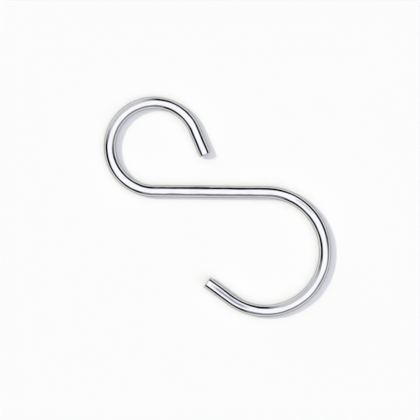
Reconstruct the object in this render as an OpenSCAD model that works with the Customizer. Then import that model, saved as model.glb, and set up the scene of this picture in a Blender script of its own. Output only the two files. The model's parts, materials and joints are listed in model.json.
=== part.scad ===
// S hook bent from one length of round wire: a small closed hook and a large
// open hook at the two ends of a straight shank. It lies flat on its side, with
// the shank along X and the middle of its outline over the origin.

/* [Wire] */
// Diameter of the round wire
wire_d = 4; // [3:0.1:5]
// Radius of the edge round each cropped end
end_round = 0.3; // [0.1:0.05:0.6]

/* [Shank] */
// Straight length between the two bends
shank_length = 37; // [24:0.5:80]

/* [Small hook] */
// Largest bar that seats in the small hook
small_inside_d = 25; // [22:0.5:32]
// How far the wire turns round the small hook, in degrees
small_wrap = 246.5; // [200:0.5:255]
// Straight leg from the small bend to its cropped end
small_leg = 9; // [4:0.5:10]

/* [Large hook] */
// Largest bar that seats in the large hook
large_inside_d = 35; // [28:0.5:50]
// How far the wire turns round the large hook, in degrees
large_wrap = 216; // [195:0.5:240]
// Straight leg from the large bend to its cropped end
large_leg = 9.5; // [4:0.5:14]

/* [Hidden] */

$fn = 96;
wire_r = wire_d / 2;
small_bend_r = small_inside_d / 2 + wire_r;
large_bend_r = large_inside_d / 2 + wire_r;

// Extra turn that each bend is drawn with before it is cut off, in degrees
spare_sweep = 10;

// Directions that are tried on each side of the one asked for, how far apart
// they are in degrees, and the last decimal of their cosines and sines
tries_each_side = 400;
try_step = 0.0001;
sixth_decimal = 0.000001;

// Middle of the outline, measured from the shank's small end
middle_x = (shank_length + large_bend_r - small_bend_r) / 2;
middle_y = small_bend_r - large_bend_r;

// Straight wire along +Z from the origin
module straight_wire(length) {
    cylinder(d = wire_d, h = length);
}

// Straight wire along +Z whose far end is cropped square, with its edge rounded
module cropped_wire(length) {
    straight_wire(length - end_round);
    cylinder(r = wire_r - end_round, h = length);
    translate([0, 0, length - end_round])
        rotate_extrude()
            translate([wire_r - end_round, 0])
                circle(r = end_round);
}

// Wire bent round the Z axis, from the +X axis anticlockwise
module bent_wire(bend_r, sweep) {
    rotate_extrude(angle = sweep)
        translate([bend_r, 0])
            circle(d = wire_d);
}

// A direction's cosine and sine, each kept to its sixth decimal
function rounded_direction(angle) =
    [for (side = [cos(angle), sin(angle)])
        round(side / sixth_decimal) * sixth_decimal];

// The rounded direction whose length is nearest to 1, out of those within a
// twentieth of a degree, so that nothing turned to it is stretched
function true_direction(angle) =
    let (
        tries = [for (i = [-tries_each_side:tries_each_side])
            rounded_direction(angle + i * try_step)],
        stretches = [for (direction = tries) abs(norm(direction) - 1)]
    )
    tries[search(min(stretches), stretches)[0]];

// Turns what follows it about the Z axis, to a true direction
module turned(angle) {
    along = true_direction(angle);
    multmatrix([
        [along.x, -along.y, 0, 0],
        [along.y, along.x, 0, 0],
        [0, 0, 1, 0],
        [0, 0, 0, 1]
    ])
        children();
}

// One hook: the wire comes in along +X at the origin, turns right round a centre
// one bend radius away, and ends in a straight leg that leaves at a tangent.
// The bend is drawn a little long and cut off square where the leg begins.
module hook_end(bend_r, wrap, leg) {
    translate([0, -bend_r, 0]) {
        difference() {
            mirror([1, -1, 0])
                bent_wire(bend_r, wrap + spare_sweep);
            turned(90 - wrap)
                translate([bend_r - wire_d, -wire_d * 2, -wire_d])
                    cube(wire_d * 2);
        }
        turned(90 - wrap)
            translate([bend_r, 0, 0])
                rotate([90, 0, 0])
                    cropped_wire(leg);
    }
}

// The whole wire: both hooks turn right as seen from the shank, which makes the S
module hook() {
    color("silver")
        translate([-middle_x, -middle_y, wire_r]) {
            rotate([0, 90, 0])
                straight_wire(shank_length);
            translate([shank_length, 0, 0])
                hook_end(large_bend_r, large_wrap, large_leg);
            rotate([0, 0, 180])
                hook_end(small_bend_r, small_wrap, small_leg);
        }
}

hook();
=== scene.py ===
"""An S hook bent from one length of bright plated wire, lying flat on a pale studio floor.

Run as a script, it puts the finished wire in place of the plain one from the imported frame, and sets
the floor, the light and the camera round it.
"""

import json
import math

import bpy
import numpy as np
from bpy.props import FloatProperty, FloatVectorProperty, IntProperty, PointerProperty
from bpy.types import Operator, Panel, PropertyGroup
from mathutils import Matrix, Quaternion, Vector


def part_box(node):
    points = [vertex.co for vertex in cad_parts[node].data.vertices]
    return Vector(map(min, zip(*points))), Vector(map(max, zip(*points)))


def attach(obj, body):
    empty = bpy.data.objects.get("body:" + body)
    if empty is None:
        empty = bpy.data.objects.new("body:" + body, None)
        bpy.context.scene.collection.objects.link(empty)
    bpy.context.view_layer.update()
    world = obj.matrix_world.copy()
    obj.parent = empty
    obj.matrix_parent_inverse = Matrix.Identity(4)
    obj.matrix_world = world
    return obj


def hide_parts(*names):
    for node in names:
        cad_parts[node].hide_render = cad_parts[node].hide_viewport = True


bl_info = {
    "name": "S Hook",
    "version": (1, 0, 0),
    "blender": (4, 5, 0),
    "location": "View3D > Sidebar > S Hook",
    "description": "Builds a bright wire S hook with its studio floor, light and camera",
    "category": "Object",
}

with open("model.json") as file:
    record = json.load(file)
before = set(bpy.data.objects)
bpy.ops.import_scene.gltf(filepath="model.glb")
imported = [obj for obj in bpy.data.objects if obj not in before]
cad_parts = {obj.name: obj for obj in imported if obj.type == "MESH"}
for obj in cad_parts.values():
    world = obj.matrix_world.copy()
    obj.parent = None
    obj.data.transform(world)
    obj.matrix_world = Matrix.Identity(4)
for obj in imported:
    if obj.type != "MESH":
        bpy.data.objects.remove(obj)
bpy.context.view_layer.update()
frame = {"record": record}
MOUNTS = {mount["name"]: mount for mount in frame["record"]["mounts"]}
MM = 0.001

# Where the die scored the wire: each mark's start and length along the wire from the small tip, its
# turn round the wire from the top towards the right, and its share of the full depth.
DRAW_MARKS = (
    (117.5 * MM, 8.5 * MM, math.radians(-7), 0.45),
    (174.5 * MM, 15.6 * MM, math.radians(4), 1.0),
)
# The share of a draw mark's length over which it deepens at one end, and fades at the other.
MARK_FADE = 0.2
# The turns round the wire, from its left side, between which the columns of points stand closer
# together, so that they can follow a draw mark.
CLOSE_COLUMNS = (math.radians(67), math.radians(110))
# How far the highest point lies below the wire's full radius, which keeps the faceted tube inside it.
CLEARANCE = 0.01 * MM

# The hollows in the wire are long waves: how many lobes each has round the wire, the shortest and the
# longest wave along it in millimetres, and the seed that their lengths and places are drawn from.
HOLLOW_LOBES = (0, 1, 2, 2, 3, 3, 4, 4, 5, 5, 6, 7)
HOLLOW_WAVES = (3.0, 14.0)
HOLLOW_SEED = 11

# The torn part of a cropped face, with lengths as shares of the wire's radius: how high its edge lies,
# how far that edge waves and how fast, and how sharply the face drops there.
TEAR_HEIGHT = -0.15
TEAR_WAVE = 0.12
TEAR_BENDS = 3
TEAR_SHARPNESS = 14
# Its ripples, which are sines: the length of a radian across, up and aslant, the lag of the first
# two, and how high the slanted one stands against the others and all of them against the depth.
RIPPLE_LENGTHS = (0.11, 0.13, 0.07)
RIPPLE_LAGS = (1.3, 0.4)
SLANTED_RIPPLE = 0.6
RIPPLE_HEIGHT = 0.35
# How far from the middle the tear would end, and how steeply it fades towards there. The flat of the
# face ends sooner, so the tear leaves a low lip inside the rounded edge.
TEAR_END = 0.97
TEAR_FADE = 6

# The studio's low walls, as (bearing in degrees from +X towards +Y, brightness): dark cloths to the
# north-east and from the west round to the south-west, and pale walls between them.
WALLS = (
    (-180, 0.01),
    (-109, 0.01),
    (-103, 0.30),
    (-75, 0.30),
    (-69, 0.32),
    (-4, 0.32),
    (20, 0.01),
    (90, 0.01),
    (97, 0.42),
    (106, 0.77),
    (152, 0.77),
    (163, 0.45),
    (176, 0.01),
    (180, 0.01),
)
# How far the bright roof reaches down towards each bearing, as (bearing, share of the full reach):
# least to the north-west, and most to the south-east and over the dark cloths.
ROOF_REACH = (
    (-175, 0.44),
    (-150, 0.74),
    (-120, 0.74),
    (-100, 0.45),
    (-72, 0.85),
    (-12, 0.85),
    (6, 0.46),
    (20, 0.46),
    (38, 0.74),
    (65, 0.74),
    (82, 0.44),
    (92, 0.44),
    (108, 0.05),
    (150, 0.05),
    (168, 0.25),
    (180, 0.44),
)


def linear(colour):
    """An sRGB hex colour, such as "#c8ccd2", as linear red, green and blue."""
    parts = [int(colour[at : at + 2], 16) / 255 for at in (1, 3, 5)]
    return [part / 12.92 if part <= 0.04045 else ((part + 0.055) / 1.055) ** 2.4 for part in parts]


# ---------------------------------------------------------------- settings


class HookWireSettings(PropertyGroup):
    """How finely the wire is made, what marks it carries, and its colours."""

    rings: IntProperty(name="Rings", description="Rings of points along the wire", default=780, min=100)
    sides: IntProperty(name="Sides", description="Columns of points round the wire", default=76, min=16)
    close_sides: IntProperty(
        name="Close columns", description="Extra columns under the draw marks", default=40, min=4
    )
    face_rings: IntProperty(
        name="Face rings", description="Rings across a cropped face", default=14, min=4
    )
    edge_rings: IntProperty(
        name="Edge rings", description="Rings over a rounded edge", default=8, min=3
    )
    end_round: FloatProperty(
        name="End round",
        description="Radius of the edge round each cropped end",
        default=0.3 * MM,
        min=0.05 * MM,
        unit="LENGTH",
        precision=5,
    )
    shear_depth: FloatProperty(
        name="Shear depth",
        description="How far the torn part of a cropped face stands back",
        default=0.08 * MM,
        min=0.0,
        unit="LENGTH",
        precision=5,
    )
    hollow_depth: FloatProperty(
        name="Hollow depth",
        description="Depth of the shallow hollows left by drawing and bending",
        default=0.04 * MM,
        min=0.0,
        unit="LENGTH",
        precision=6,
    )
    mark_depth: FloatProperty(
        name="Mark depth",
        description="Depth of a draw mark",
        default=0.11 * MM,
        min=0.0,
        unit="LENGTH",
        precision=5,
    )
    mark_width: FloatProperty(
        name="Mark width",
        description="Width of a draw mark",
        default=1.1 * MM,
        min=0.05 * MM,
        unit="LENGTH",
        precision=5,
    )
    plating: FloatVectorProperty(
        name="Plating",
        description="Colour of the bright plating, seen head on",
        default=linear("#e2e2e3"),
        subtype="COLOR",
        min=0.0,
        max=1.0,
    )
    clouded: FloatVectorProperty(
        name="Clouded plating",
        description="Colour of the plating where its polish is hazy",
        default=linear("#dddee0"),
        subtype="COLOR",
        min=0.0,
        max=1.0,
    )
    # A darker colour that the wire takes along its draw marks, blended in by each mark's depth share.
    scored: FloatVectorProperty(
        name="Scored plating",
        description="Colour in a draw mark, where the plating is thin",
        default=linear("#767682"),
        subtype="COLOR",
        min=0.0,
        max=1.0,
    )
    slanted: FloatVectorProperty(
        name="Slanted plating",
        description="Colour of the plating seen at a slant, as a share of that head on",
        default=linear("#30343c"),
        subtype="COLOR",
        min=0.0,
        max=1.0,
    )
    burnished: FloatVectorProperty(
        name="Burnished steel",
        description="Colour of a cropped face where the blade slid",
        default=linear("#b4b5b8"),
        subtype="COLOR",
        min=0.0,
        max=1.0,
    )
    torn: FloatVectorProperty(
        name="Torn steel",
        description="Colour of a cropped face where the wire tore",
        default=linear("#8b8c90"),
        subtype="COLOR",
        min=0.0,
        max=1.0,
    )


class StageSettings(PropertyGroup):
    """The floor, the light and the camera."""

    floor_reach: FloatProperty(
        name="Floor reach",
        description="How far the floor reaches on each side",
        default=10.0,
        unit="LENGTH",
    )
    floor_colour: FloatVectorProperty(
        name="Floor",
        description="Colour of the floor paper",
        default=linear("#ededf5"),
        subtype="COLOR",
        min=0.0,
        max=1.0,
    )
    floor_glow: FloatProperty(
        name="Floor glow",
        description="Share of what the eye and the metal see of the floor that is its own white",
        default=0.20,
        min=0.0,
        max=1.0,
    )
    glow_colour: FloatVectorProperty(
        name="Glow",
        description="Colour of the floor's own white",
        default=linear("#fdfdfd"),
        subtype="COLOR",
        min=0.0,
        max=1.0,
    )
    roof_colour: FloatVectorProperty(
        name="Roof light",
        description="Colour of the light from the roof and the walls",
        default=linear("#fafaff"),
        subtype="COLOR",
        min=0.0,
        max=1.0,
    )
    roof_light: FloatProperty(
        name="Roof brightness",
        description="Brightness of the cloth roof overhead",
        default=1.3,
        min=0.0,
    )
    roof_full: FloatProperty(
        name="Roof full to",
        description="Angle from straight up where a roof with no reach would start to fall off",
        default=math.radians(11.5),
        subtype="ANGLE",
    )
    roof_end: FloatProperty(
        name="Roof ends at",
        description="Angle from straight up where a roof with no reach would end",
        default=math.radians(30),
        subtype="ANGLE",
    )
    roof_reach: FloatProperty(
        name="Roof reach",
        description="How much lower the roof hangs at full reach, as a share of a dome's height",
        default=0.40,
        min=0.0,
    )
    key_colour: FloatVectorProperty(
        name="Key light",
        description="Colour of the key lamp",
        default=linear("#ffffd9"),
        subtype="COLOR",
        min=0.0,
        max=1.0,
    )
    key_light: FloatProperty(
        name="Key strength",
        description="Strength of the key lamp in watts a square metre",
        default=1.60,
        min=0.0,
    )
    key_bearing: FloatProperty(
        name="Key bearing",
        description="Bearing of the key lamp from +X towards +Y",
        default=math.radians(158),
        subtype="ANGLE",
    )
    key_height: FloatProperty(
        name="Key height",
        description="Angle of the key lamp above the floor",
        default=math.radians(51),
        subtype="ANGLE",
    )
    key_width: FloatProperty(
        name="Key width",
        description="Angle that the key lamp fills, which softens the edge of the shadow",
        default=math.radians(6),
        subtype="ANGLE",
    )
    camera_height: FloatProperty(
        name="Camera height",
        description="Height of the camera above the floor",
        default=0.7,
        unit="LENGTH",
    )
    view_width: FloatProperty(
        name="View width",
        description="Width of the view at the middle of the wire",
        default=137.9 * MM,
        unit="LENGTH",
    )
    view_right: FloatProperty(
        name="View right",
        description="How far the middle of the view lies to the right of the middle of the hook",
        default=-2.4 * MM,
        unit="LENGTH",
    )
    view_up: FloatProperty(
        name="View up",
        description="How far the middle of the view lies above the middle of the hook",
        default=-1.05 * MM,
        unit="LENGTH",
    )
    view_roll: FloatProperty(
        name="View roll",
        description="Turn of the camera about its line of sight",
        default=math.radians(0.55),
        subtype="ANGLE",
    )


# ---------------------------------------------------------------- the shape of the wire


def wire_path(end_round):
    """The wire's radius and its centre line from the small tip to the large tip.

    The line is a start, a heading and a list of (length, curvature) stretches, where a positive
    curvature turns left. A bend's radius is its seat's plus the wire's own. A leg runs from its bend to
    the far end of its tip pin, and on over the rounded edge. The shank joins the two bends.
    """
    radius = MOUNTS["small_tip"]["dims"]["r_mm"] * MM
    legs, headings, bends, seats = [], [], [], []
    for loop in ("small", "large"):
        seat, tip = MOUNTS[f"{loop}_seat"], MOUNTS[f"{loop}_tip"]
        axis = np.array(tip["axis"], float)
        reach = (np.array(tip["pos_m"], float) - seat["pos_m"]) @ axis
        legs.append(reach + tip["dims"]["length_mm"] * MM / 2 + end_round)
        headings.append(math.atan2(axis[1], axis[0]))
        bends.append(seat["dims"]["r_mm"] * MM + radius)
        seats.append(np.array(seat["pos_m"], float))
    into_bend = headings[0] + math.pi
    right = np.array([math.sin(into_bend), -math.cos(into_bend), 0.0])
    back = -np.array([math.cos(into_bend), math.sin(into_bend), 0.0])
    start = seats[0] + right * bends[0] + back * legs[0]
    # The shank heads along +X. The small bend turns left up to it, and the large bend right from it.
    small_turn = -into_bend % math.tau
    large_turn = -headings[1] % math.tau
    shank = seats[1][0] - seats[0][0]
    stretches = [
        (legs[0], 0.0),
        (small_turn * bends[0], 1 / bends[0]),
        (shank, 0.0),
        (large_turn * bends[1], -1 / bends[1]),
        (legs[1], 0.0),
    ]
    return radius, start, into_bend, stretches


def along_path(distance, start, heading, stretches):
    """The points and headings at these distances along stretches of constant curvature.

    Over a distance d on a stretch of curvature k, the heading grows by k d, and the point moves by
    d times sin(k d / 2) / (k d / 2) in the direction halfway between the old heading and the new.
    """
    points = np.zeros((len(distance), 3))
    headings = np.zeros(len(distance))
    at, done = start, 0.0
    for length, bend in stretches:
        step = np.append(np.clip(distance - done, 0.0, length), length)
        middle = heading + bend * step / 2
        chord = step * np.sinc(bend * step / math.tau)
        way = np.stack([np.cos(middle), np.sin(middle), np.zeros_like(middle)], axis=1)
        moved = at + way * chord[:, None]
        here = distance >= done
        points[here] = moved[:-1][here]
        headings[here] = (heading + bend * step[:-1])[here]
        at, heading, done = moved[-1], heading + bend * length, done + length
    return points, headings


def end_rings(radius, end_round, face_rings, edge_rings):
    """Each ring's distance from the cropped end and its radius: a flat face, then a quarter round."""
    face = np.linspace(0.0, radius - end_round, face_rings + 1)[1:]
    turn = np.linspace(0.0, math.pi / 2, edge_rings + 1)[1:]
    distance = np.append(np.zeros(face_rings), end_round * (1 - np.cos(turn)))
    return distance, np.append(face, radius - end_round + end_round * np.sin(turn))


def column_turns(sides, close_sides):
    """The turn of each column of points round the wire: even steps, with smaller ones where draw marks
    run."""
    first, last = CLOSE_COLUMNS
    close = np.linspace(first, last, close_sides)
    return np.append(close, np.linspace(last, first + math.tau, sides + 2)[1:-1])


def hollows(distance, turn, depth):
    """How far the surface lies below the wire's full radius.

    It is a sum of long waves, each a cosine of its lobes round the wire times a sine of the distance,
    scaled to run from none to the whole depth.
    """
    chance = np.random.default_rng(HOLLOW_SEED)
    height = np.zeros(np.broadcast_shapes(distance.shape, turn.shape))
    for lobes in HOLLOW_LOBES:
        wave = chance.uniform(*HOLLOW_WAVES) * MM
        phase, lag = chance.uniform(0.0, math.tau, 2)
        height = height + np.cos(lobes * turn + phase) * np.sin(distance * math.tau / wave + lag)
    return depth * (height - height.min()) / np.ptp(height)


def draw_marks(distance, turn, radius, width):
    """How deep in a draw mark each point lies, from 0 to 1: a cosine squared across the mark, times a
    straight fade at each end and the mark's own share."""
    inside = np.zeros(np.broadcast_shapes(distance.shape, turn.shape))
    for start, length, side, share in DRAW_MARKS:
        across = np.clip((turn - math.pi / 2 - side) * radius / width, -0.5, 0.5)
        from_end = np.minimum(distance - start, start + length - distance)
        ends = np.clip(from_end / (MARK_FADE * length), 0.0, 1.0)
        inside = np.maximum(inside, share * np.cos(math.pi * across) ** 2 * ends)
    return inside


def torn_depth(across, up, radius, depth):
    """How far a cropped face stands back.

    Below a wavy line the wire tore away. There the face drops by the depth, in a logistic step, and
    crossing sines ripple it. It fades a little towards the rim, along a straight line.
    """
    sideways, height = across / radius, up / radius
    edge = TEAR_HEIGHT - TEAR_WAVE * np.sin(TEAR_BENDS * sideways)
    tear = 1 / (1 + np.exp(TEAR_SHARPNESS * (height - edge)))
    wide, tall, slanted = RIPPLE_LENGTHS
    wide_lag, tall_lag = RIPPLE_LAGS
    ripple = np.sin(sideways / wide + wide_lag) * np.sin(height / tall + tall_lag)
    ripple += SLANTED_RIPPLE * np.sin((sideways + height) / slanted)
    fade = np.clip(TEAR_FADE * (1 - np.hypot(sideways, height) / TEAR_END), 0.0, 1.0)
    return depth * tear * fade * (1 + RIPPLE_HEIGHT * ripple)


def tube_mesh(name, points, face_bands, readings):
    """A closed tube from a grid of points, rings by columns, with a pole at the middle of each end.

    The end bands take the second material. readings are arrays on the same grid that go on to the
    points as attributes, for the materials to read.
    """
    rings, columns = points.shape[:2]
    corner = np.arange(rings * columns).reshape(rings, columns)
    beside = np.roll(corner, -1, axis=1)
    quads = np.stack([corner[:-1], beside[:-1], beside[1:], corner[1:]], axis=-1).reshape(-1, 4)
    first_pole, last_pole = rings * columns, rings * columns + 1
    first_fan = np.stack([beside[0], corner[0], np.full(columns, first_pole)], axis=-1)
    last_fan = np.stack([corner[-1], beside[-1], np.full(columns, last_pole)], axis=-1)
    with_poles = np.concatenate([points.reshape(-1, 3), points[[0, -1]].mean(axis=1)])
    mesh = bpy.data.meshes.new(name)
    mesh.from_pydata(with_poles.tolist(), [], quads.tolist() + first_fan.tolist() + last_fan.tolist())
    band = np.repeat(np.arange(rings - 1), columns)
    cropped = (band < face_bands) | (band >= rings - 1 - face_bands)
    slots = np.append(cropped, np.ones(2 * columns, bool)).astype(np.int32)
    mesh.polygons.foreach_set("material_index", slots)
    mesh.polygons.foreach_set("use_smooth", np.ones(len(slots), bool))
    for reading, values in readings.items():
        at_poles = values[[0, -1]].mean(axis=1).reshape(2, -1)
        values = np.concatenate([values.reshape(rings * columns, -1), at_poles])
        kind, field = ("FLOAT_VECTOR", "vector") if values.shape[1] == 3 else ("FLOAT", "value")
        attribute = mesh.attributes.new(reading, kind, "POINT")
        attribute.data.foreach_set(field, values.astype(np.float32).ravel())
    mesh.update()
    return mesh


def wire_mesh(wire):
    """A circle carried along the wire's centre line, closed at each end by a cropped face.

    Each point is the centre line's point, plus the ring's radius less its hollows and draw marks, times
    the cosine of its turn to the left and the sine of it upwards. A cropped face's points stand back
    along the line by their torn depth. The wire's lowest point rests on the floor.
    """
    radius, start, heading, stretches = wire_path(wire.end_round)
    length = sum(stretch for stretch, bend in stretches)
    end_distance, end_radius = end_rings(radius, wire.end_round, wire.face_rings, wire.edge_rings)
    between = np.linspace(wire.end_round, length - wire.end_round, wire.rings)[1:-1]
    distance = np.concatenate([end_distance, between, length - end_distance[::-1]])
    full = np.concatenate([end_radius, np.full(len(between), radius), end_radius[::-1]])
    centres, headings = along_path(distance, start, heading, stretches)
    turn = column_turns(wire.sides, wire.close_sides)
    scored = draw_marks(distance[:, None], turn, radius, wire.mark_width)
    below = CLEARANCE + hollows(distance[:, None], turn, wire.hollow_depth) + wire.mark_depth * scored
    reach = full[:, None] * (1 - below / radius)
    across, up = reach * np.cos(turn), reach * np.sin(turn)
    flat = np.zeros_like(headings)
    left = np.stack([-np.sin(headings), np.cos(headings), flat], axis=1)[:, None]
    ahead = np.stack([np.cos(headings), np.sin(headings), flat], axis=1)[:, None]
    inwards = np.zeros((len(distance), 1))
    inwards[: wire.face_rings] = 1.0
    inwards[-wire.face_rings :] = -1.0
    torn = inwards * torn_depth(across, up, radius, wire.shear_depth)
    points = centres[:, None] + across[..., None] * left + torn[..., None] * ahead
    points[..., 2] = up - up.min()
    straight = np.stack([across, up, np.broadcast_to(distance[:, None], across.shape)], axis=-1)
    readings = {"straight_wire": straight, "draw_mark": scored}
    return tube_mesh("hook_wire", points, wire.face_rings - 1, readings)


# ---------------------------------------------------------------- materials


def add_node(tree, kind, inputs=None, stops=None, **settings):
    """Adds a node of this kind. settings are its properties, inputs its sockets' values or the outputs
    that lead into them, and stops a colour ramp's (position, value) pairs."""
    node = tree.nodes.new(kind)
    for name, value in settings.items():
        setattr(node, name, value)
    for name, value in (inputs or {}).items():
        if isinstance(value, bpy.types.NodeSocket):
            tree.links.new(value, node.inputs[name])
        else:
            node.inputs[name].default_value = value
    for number, (position, value) in enumerate(stops or ()):
        # A new ramp has two stops already.
        ramp = node.color_ramp.elements
        stop = ramp[number] if number < 2 else ramp.new(position)
        stop.position, stop.color = position, (value, value, value, 1.0)
    return node


def new_material(name):
    """An empty material's node tree, and the material."""
    material = bpy.data.materials.new(name)
    material.use_nodes = True
    material.node_tree.nodes.clear()
    return material.node_tree, material


def opaque(colour):
    """A colour with full alpha."""
    return (*colour, 1.0)


def bright_chrome(wire):
    """Bright nickel-chrome electroplate over cold-drawn steel wire.

    The eye sees a mirror with a faint blue cast. Draw lines run along it and soften what it reflects
    across the wire, its polish is hazy in places, and it darkens where it is seen at a slant. A draw
    mark is rougher, and its colour is darker.
    """
    tree, material = new_material("bright_nickel_chrome_wire")
    straight = add_node(tree, "ShaderNodeAttribute", attribute_name="straight_wire").outputs["Vector"]
    scored = add_node(tree, "ShaderNodeAttribute", attribute_name="draw_mark").outputs["Fac"]
    # Draw lines from a die stand about 0.05 mm apart and run for centimetres. They are drawn 0.3 mm
    # apart, because finer ones don't show.
    line_gap, line_length, line_height = 0.3 * MM, 30 * MM, 0.002 * MM
    drawn = add_node(
        tree,
        "ShaderNodeMapping",
        {"Vector": straight, "Scale": (1 / line_gap, 1 / line_gap, 1 / line_length)},
    ).outputs["Vector"]
    lines = add_node(
        tree, "ShaderNodeTexNoise", {"Vector": drawn, "Scale": 1.0, "Detail": 3.0}
    ).outputs["Fac"]
    # The haze of the polish changes over about 3 mm round the wire and 5 mm along it. The polish is
    # clear where the noise is low and hazy where it is high.
    haze_width, haze_length = 3 * MM, 5 * MM
    clear_to, hazy_from = 0.35, 0.7
    spread = add_node(
        tree,
        "ShaderNodeMapping",
        {"Vector": straight, "Scale": (1 / haze_width, 1 / haze_width, 1 / haze_length)},
    ).outputs["Vector"]
    haze = add_node(
        tree, "ShaderNodeTexNoise", {"Vector": spread, "Scale": 1.0, "Detail": 2.0}
    ).outputs["Fac"]
    hazy = add_node(
        tree,
        "ShaderNodeMapRange",
        {"Value": haze, "From Min": clear_to, "From Max": hazy_from},
        interpolation_type="SMOOTHSTEP",
    ).outputs["Result"]
    plated = add_node(
        tree,
        "ShaderNodeMix",
        {"Factor": hazy, "A": opaque(wire.plating), "B": opaque(wire.clouded)},
        data_type="RGBA",
    ).outputs["Result"]
    # Along a draw mark the colour turns darker, by the mark's depth share.
    colour = add_node(
        tree,
        "ShaderNodeMix",
        {"Factor": scored, "A": plated, "B": opaque(wire.scored)},
        data_type="RGBA",
    ).outputs["Result"]
    # The roughness of the clearest and the haziest polish, and what a draw mark adds to it.
    clearest, haziest, scoring = 0.04, 0.12, 0.25
    polish = add_node(
        tree, "ShaderNodeMapRange", {"Value": haze, "To Min": clearest, "To Max": haziest}
    ).outputs["Result"]
    roughness = add_node(
        tree, "ShaderNodeMath", {0: scored, 1: scoring, 2: polish}, operation="MULTIPLY_ADD"
    ).outputs["Value"]
    ridges = add_node(
        tree, "ShaderNodeBump", {"Height": lines, "Strength": 1.0, "Distance": line_height}
    ).outputs["Normal"]
    chrome = add_node(
        tree,
        "ShaderNodeBsdfPrincipled",
        {
            "Base Color": colour,
            "Metallic": 1.0,
            "Roughness": roughness,
            "Specular Tint": opaque(wire.slanted),
            "Normal": ridges,
        },
    )
    add_node(tree, "ShaderNodeOutputMaterial", {"Surface": chrome.outputs["BSDF"]})
    return material


def sheared_steel(wire):
    """Bare mild steel, sheared by a cropping blade.

    The eye sees a brighter upper part, burnished up and down by the blade, over a dull and grainy lower
    part where the wire tore.
    """
    tree, material = new_material("sheared_steel_end")
    straight = add_node(tree, "ShaderNodeAttribute", attribute_name="straight_wire").outputs["Vector"]
    height = add_node(tree, "ShaderNodeSeparateXYZ", {"Vector": straight}).outputs["Y"]
    # Grain of about 0.12 mm, which the tear opens up. It is stretched up and down by the blade.
    grain_width, grain_height, grain_depth = 0.12 * MM, 0.3 * MM, 0.02 * MM
    rubbed = add_node(
        tree,
        "ShaderNodeMapping",
        {"Vector": straight, "Scale": (1 / grain_width, 1 / grain_height, 1 / grain_width)},
    ).outputs["Vector"]
    grain = add_node(
        tree, "ShaderNodeTexNoise", {"Vector": rubbed, "Scale": 1.0, "Detail": 4.0}
    ).outputs["Fac"]
    # The face is burnished down to one height and torn from a lower one. The grain lowers each point's
    # height by up to 0.8 mm here, which makes the edge between them ragged.
    raggedness, burnished_to, torn_from = 0.8 * MM, -0.5 * MM, -0.9 * MM
    ragged = add_node(
        tree, "ShaderNodeMath", {0: grain, 1: -raggedness, 2: height}, operation="MULTIPLY_ADD"
    ).outputs["Value"]
    torn = add_node(
        tree,
        "ShaderNodeMapRange",
        {"Value": ragged, "From Min": burnished_to, "From Max": torn_from},
        interpolation_type="SMOOTHSTEP",
    ).outputs["Result"]
    colour = add_node(
        tree,
        "ShaderNodeMix",
        {"Factor": torn, "A": opaque(wire.burnished), "B": opaque(wire.torn)},
        data_type="RGBA",
    ).outputs["Result"]
    # The roughness of the burnish and of the tear.
    smooth, rough = 0.3, 0.6
    roughness = add_node(
        tree, "ShaderNodeMapRange", {"Value": torn, "To Min": smooth, "To Max": rough}
    ).outputs["Result"]
    relief = add_node(
        tree, "ShaderNodeBump", {"Height": grain, "Strength": 1.0, "Distance": grain_depth}
    ).outputs["Normal"]
    steel = add_node(
        tree,
        "ShaderNodeBsdfPrincipled",
        {"Base Color": colour, "Metallic": 1.0, "Roughness": roughness, "Normal": relief},
    )
    add_node(tree, "ShaderNodeOutputMaterial", {"Surface": steel.outputs["BSDF"]})
    return material


def floor_paper(stage):
    """Matt white background paper, which shows nothing but the wire's shadow.

    The eye and the metal see part of it as its own white, which lightens that shadow. That white
    lights nothing, because every other ray meets the paper alone.
    """
    tree, material = new_material("matt_paper_floor")
    ray = add_node(tree, "ShaderNodeLightPath")
    direct = add_node(
        tree, "ShaderNodeMath", {0: ray.outputs["Is Camera Ray"], 1: ray.outputs["Is Glossy Ray"]}
    ).outputs["Value"]
    seen = add_node(
        tree, "ShaderNodeMath", {0: direct, 1: ray.outputs["Is Transmission Ray"]}, use_clamp=True
    ).outputs["Value"]
    share = add_node(
        tree, "ShaderNodeMath", {0: seen, 1: stage.floor_glow}, operation="MULTIPLY"
    ).outputs["Value"]
    paper = add_node(tree, "ShaderNodeBsdfDiffuse", {"Color": opaque(stage.floor_colour)})
    white = add_node(tree, "ShaderNodeEmission", {"Color": opaque(stage.glow_colour), "Strength": 1.0})
    floor = add_node(
        tree,
        "ShaderNodeMixShader",
        {0: share, 1: paper.outputs["BSDF"], 2: white.outputs["Emission"]},
    )
    add_node(tree, "ShaderNodeOutputMaterial", {"Surface": floor.outputs["Shader"]})
    return material


# ---------------------------------------------------------------- the studio


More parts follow.
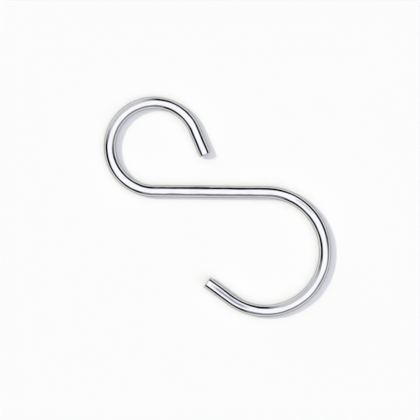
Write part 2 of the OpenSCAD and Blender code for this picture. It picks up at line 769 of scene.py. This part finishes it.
def studio_world(stage):
    """A bright cloth roof overhead, which falls off to the low walls, and hangs lower to some sides.

    The brightness is the greater of the roof's, a smooth step on the height, and the wall's.
    """
    world = bpy.data.worlds.new("studio")
    world.use_nodes = True
    tree = world.node_tree
    tree.nodes.clear()
    direction = add_node(tree, "ShaderNodeTexCoord").outputs["Generated"]
    sight = add_node(tree, "ShaderNodeSeparateXYZ", {"Vector": direction})
    bearing = add_node(
        tree, "ShaderNodeMath", {0: sight.outputs["Y"], 1: sight.outputs["X"]}, operation="ARCTAN2"
    ).outputs["Value"]
    round_room = add_node(
        tree, "ShaderNodeMapRange", {"Value": bearing, "From Min": -math.pi, "From Max": math.pi}
    ).outputs["Result"]
    walls, reach = (
        add_node(
            tree,
            "ShaderNodeValToRGB",
            {"Fac": round_room},
            stops=[((degrees + 180) / 360, value) for degrees, value in table],
        ).outputs["Color"]
        for table in (WALLS, ROOF_REACH)
    )
    # Where the roof reaches down, a direction counts as higher up than it is.
    height = add_node(
        tree,
        "ShaderNodeMath",
        {0: reach, 1: stage.roof_reach, 2: sight.outputs["Z"]},
        operation="MULTIPLY_ADD",
    ).outputs["Value"]
    roof = add_node(
        tree,
        "ShaderNodeMapRange",
        {
            "Value": height,
            "From Min": math.cos(stage.roof_end),
            "From Max": math.cos(stage.roof_full),
            "To Max": stage.roof_light,
        },
        interpolation_type="SMOOTHSTEP",
    ).outputs["Result"]
    brightness = add_node(
        tree, "ShaderNodeMath", {0: roof, 1: walls}, operation="MAXIMUM"
    ).outputs["Value"]
    light = add_node(
        tree, "ShaderNodeBackground", {"Color": opaque(stage.roof_colour), "Strength": brightness}
    )
    add_node(tree, "ShaderNodeOutputWorld", {"Surface": light.outputs["Background"]})
    return world


def floor_mesh(reach):
    """One square face, which reaches as far on every side."""
    mesh = bpy.data.meshes.new("floor")
    corners = reach * np.array([(-1, -1, 0), (1, -1, 0), (1, 1, 0), (-1, 1, 0)], float)
    mesh.from_pydata(corners.tolist(), [], [(0, 1, 2, 3)])
    return mesh


def key_lamp(stage):
    """A distant lamp whose light comes down from its bearing and height. The metal doesn't mirror it,
    as if it shone through the cloth of the roof."""
    lamp = bpy.data.lights.new("key", "SUN")
    lamp.energy = stage.key_light
    lamp.angle = stage.key_width
    lamp.color = stage.key_colour
    out = math.cos(stage.key_height)
    towards = Vector(
        (
            out * math.cos(stage.key_bearing),
            out * math.sin(stage.key_bearing),
            math.sin(stage.key_height),
        )
    )
    key = bpy.data.objects.new("key", lamp)
    key.visible_glossy = False
    key.rotation_mode = "QUATERNION"
    key.rotation_quaternion = towards.to_track_quat("Z", "Y")
    return key


def overhead_camera(stage):
    """A camera that looks straight down. Its lens is the sensor's width times the distance to the
    middle of the wire, over the width seen there."""
    low, high = (Vector(corner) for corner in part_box("hook"))
    middle = (low + high) / 2
    lens = bpy.data.cameras.new("camera")
    lens.lens = lens.sensor_width * (stage.camera_height - middle.z) / stage.view_width
    camera = bpy.data.objects.new("camera", lens)
    camera.location = (middle.x + stage.view_right, middle.y + stage.view_up, stage.camera_height)
    camera.rotation_mode = "QUATERNION"
    camera.rotation_quaternion = Quaternion((0.0, 0.0, 1.0), stage.view_roll)
    return camera


# ---------------------------------------------------------------- operators


class BuildHookWire(Operator):
    """Build the bent wire, with its plating and its cropped ends"""

    bl_idname = "s_hook.build_wire"
    bl_label = "Hook wire"
    bl_options = {"REGISTER", "UNDO"}

    def execute(self, context):
        settings = context.scene.hook_wire
        mesh = wire_mesh(settings)
        mesh.materials.append(bright_chrome(settings))
        mesh.materials.append(sheared_steel(settings))
        wire = bpy.data.objects.new("hook_wire", mesh)
        context.scene.collection.objects.link(wire)
        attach(wire, "root")
        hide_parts("hook")
        return {"FINISHED"}


class BuildStage(Operator):
    """Build the paper floor, the light and the camera"""

    bl_idname = "s_hook.build_stage"
    bl_label = "Stage"
    bl_options = {"REGISTER", "UNDO"}

    def execute(self, context):
        scene = context.scene
        stage = scene.hook_stage
        mesh = floor_mesh(stage.floor_reach)
        mesh.materials.append(floor_paper(stage))
        floor = bpy.data.objects.new("floor", mesh)
        camera = overhead_camera(stage)
        for item in (floor, key_lamp(stage), camera):
            scene.collection.objects.link(item)
        scene.world = studio_world(stage)
        scene.camera = camera
        scene.view_settings.view_transform = "Standard"
        return {"FINISHED"}


class HookPanel(Panel):
    """The steps that build the hook, with their sizes and colours"""

    bl_idname = "VIEW3D_PT_s_hook"
    bl_label = "S Hook"
    bl_space_type = "VIEW_3D"
    bl_region_type = "UI"
    bl_category = "S Hook"

    def draw(self, context):
        for operator, settings in (
            (BuildHookWire, context.scene.hook_wire),
            (BuildStage, context.scene.hook_stage),
        ):
            box = self.layout.box()
            box.operator(operator.bl_idname)
            for name in type(settings).__annotations__:
                box.prop(settings, name)


CLASSES = (HookWireSettings, StageSettings, BuildHookWire, BuildStage, HookPanel)


def register():
    """Register the classes and give each scene its settings."""
    for item in CLASSES:
        bpy.utils.register_class(item)
    bpy.types.Scene.hook_wire = PointerProperty(type=HookWireSettings)
    bpy.types.Scene.hook_stage = PointerProperty(type=StageSettings)


def unregister():
    """Take the settings and the classes away again."""
    del bpy.types.Scene.hook_wire
    del bpy.types.Scene.hook_stage
    for item in reversed(CLASSES):
        bpy.utils.unregister_class(item)


def main():
    """Build the hook and its stage."""
    register()
    bpy.ops.s_hook.build_wire()
    bpy.ops.s_hook.build_stage()


if __name__ == "__main__":
    main()
